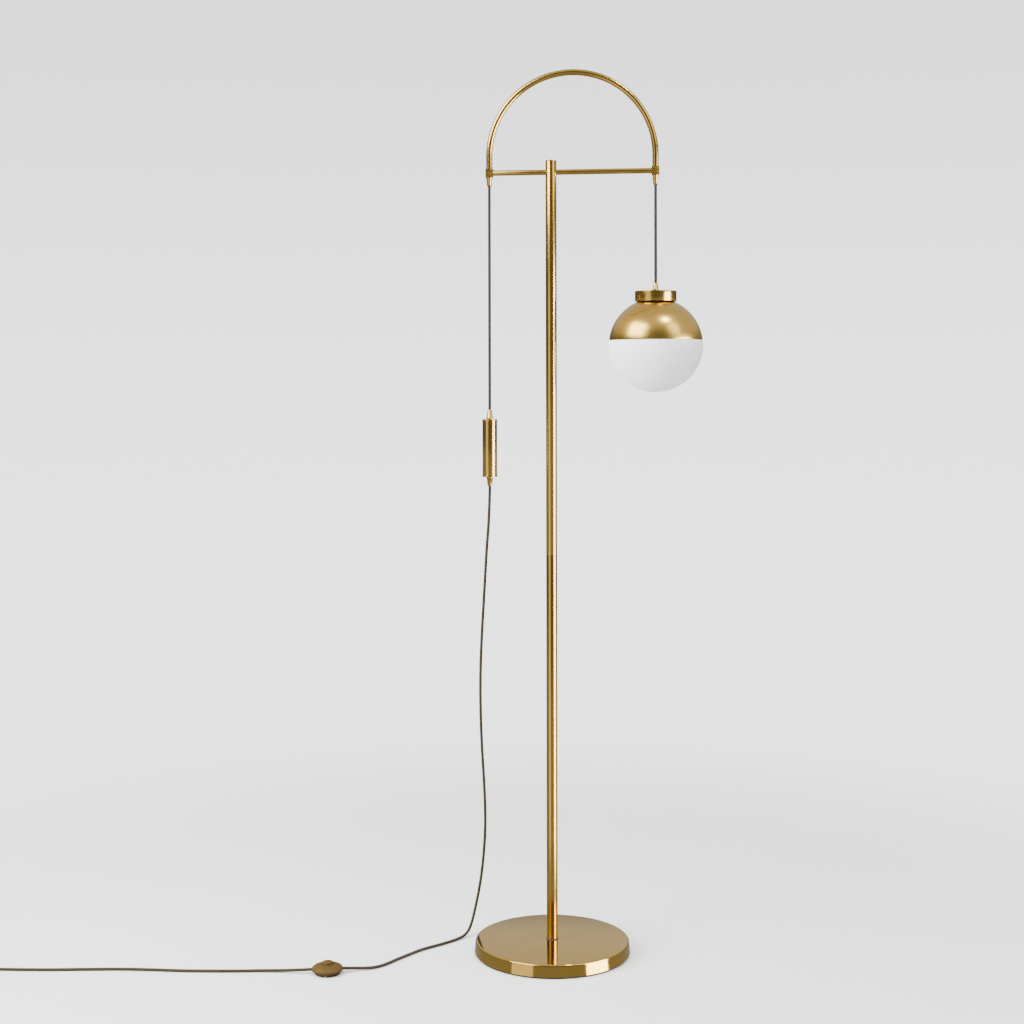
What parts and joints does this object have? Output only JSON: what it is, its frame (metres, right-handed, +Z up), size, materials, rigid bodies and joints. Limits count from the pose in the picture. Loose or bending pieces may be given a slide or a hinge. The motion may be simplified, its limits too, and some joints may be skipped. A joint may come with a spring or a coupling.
{
  "type": "arc floor lamp",
  "caption": "Brass arc floor lamp: round base, slim pole, half-round arch on a crossbar, pendant with a metal dome over opal glass, counterweight on the cord, foot switch.",
  "frame": {"origin": "on the floor under the pole, at the centre of the base pad's underside", "axes": "+Z up along the pole, +X along the crossbar towards the pendant, +Y towards the back"},
  "size_m": [1.3539, 0.3466, 1.5972],
  "materials": {
    "brass": "polished, lacquered",
    "satin_brass": "satin, fine vertical brushing",
    "knurled_brass": "knurled, slightly darkened",
    "iron": "cast, painted dark",
    "dark_rubber": "matt",
    "steel": "zinc plated",
    "cord_fabric": "braided textile sleeve",
    "black_plastic": "matt moulded",
    "nylon": "moulded nylon",
    "ceramic": null,
    "opal_glass": "opal, satin",
    "bulb_glass": "frosted",
    "gold_plastic": "satin gold-coloured moulding"
  },
  "bodies": {
    "stand": {"arch_grip_left": "brass", "arch_grip_right": "brass", "arch_tube": "brass", "base_cover": "brass", "base_pad": "dark_rubber", "base_weight": "iron", "cord_coil": "cord_fabric", "cord_drop": "cord_fabric", "cord_in_arch": "cord_fabric", "cord_lead": "cord_fabric", "cord_tail": "cord_fabric", "cord_tie": "black_plastic", "cord_upper_left": "cord_fabric", "crossbar": "brass", "crossbar_screw": "steel", "hub_left": "knurled_brass", "hub_right": "knurled_brass", "plug_body": "black_plastic", "plug_pins": "steel", "plug_relief": "black_plastic", "pole_bolt": "steel", "pole_cap": "brass", "pole_coupler": "steel", "pole_foot_insert": "steel", "pole_gasket": "dark_rubber", "pole_head_insert": "steel", "pole_lower": "brass", "pole_upper": "brass", "pole_washer": "steel", "switch_base": "gold_plastic", "switch_contacts": "black_plastic", "switch_cover": "gold_plastic", "switch_screws": "steel", "switch_spring": "steel", "weight_screws": "steel"},
    "swing_link": {"swivel_liner": "nylon"},
    "pendant_hanger": {"pendant_bush": "nylon", "pendant_cord": "cord_fabric"},
    "pendant": {"shade_grip": "brass", "shade_cap": "brass", "shade_dome": "satin_brass", "shade_nipple": "steel", "shade_nuts": "steel", "lampholder_shell": "black_plastic", "lampholder_insert": "ceramic", "lampholder_contact": "steel", "bulb_cap": "steel", "bulb_glass": "bulb_glass", "gallery_ring": "satin_brass", "gallery_screws": "steel", "globe_clips": "steel"},
    "globe": {"opal_glass": "opal_glass"},
    "counterweight": {"counterweight_tube": "brass", "counterweight_core": "brass", "counterweight_cap_top": "brass", "counterweight_cap_bottom": "brass", "counterweight_grip_top": "brass", "counterweight_grip_bottom": "brass", "cord_in_counterweight": "cord_fabric"},
    "button": {"switch_button": "gold_plastic"}
  },
  "joints": [
    {"name": "pendant_swing_side", "type": "hinge", "parent": "stand", "child": "swing_link", "pos_m": [0.1885, 0, 1.3863], "axis": [0, -1, 0], "range_deg": [-8, 14]},
    {"name": "pendant_swing_front", "type": "hinge", "parent": "swing_link", "child": "pendant_hanger", "pos_m": [0.1885, 0, 1.3863], "axis": [1, 0, 0], "range_deg": [-14, 14]},
    {"name": "pendant_height", "type": "slide", "parent": "pendant_hanger", "child": "pendant", "axis": [0, 0, 1], "range_m": [-0.35, 0.12], "deforming": ["pendant_cord"]},
    {"name": "counterweight_travel", "type": "slide", "parent": "stand", "child": "counterweight", "axis": [0, 0, 1], "range_m": [-0.12, 0.35], "deforming": ["cord_upper_left", "cord_drop"]},
    {"name": "globe_release", "type": "slide", "parent": "pendant", "child": "globe", "axis": [0, 0, -1], "range_m": [0, 0.035]},
    {"name": "switch_press", "type": "slide", "parent": "stand", "child": "button", "axis": [0, 0, -1], "range_m": [0, 0.003], "stiffness_N_per_m": 900, "deforming": ["switch_spring"]}
  ],
  "couplings": [
    {"joint": "counterweight_travel", "follows": "pendant_height", "ratio": -1}
  ]
}
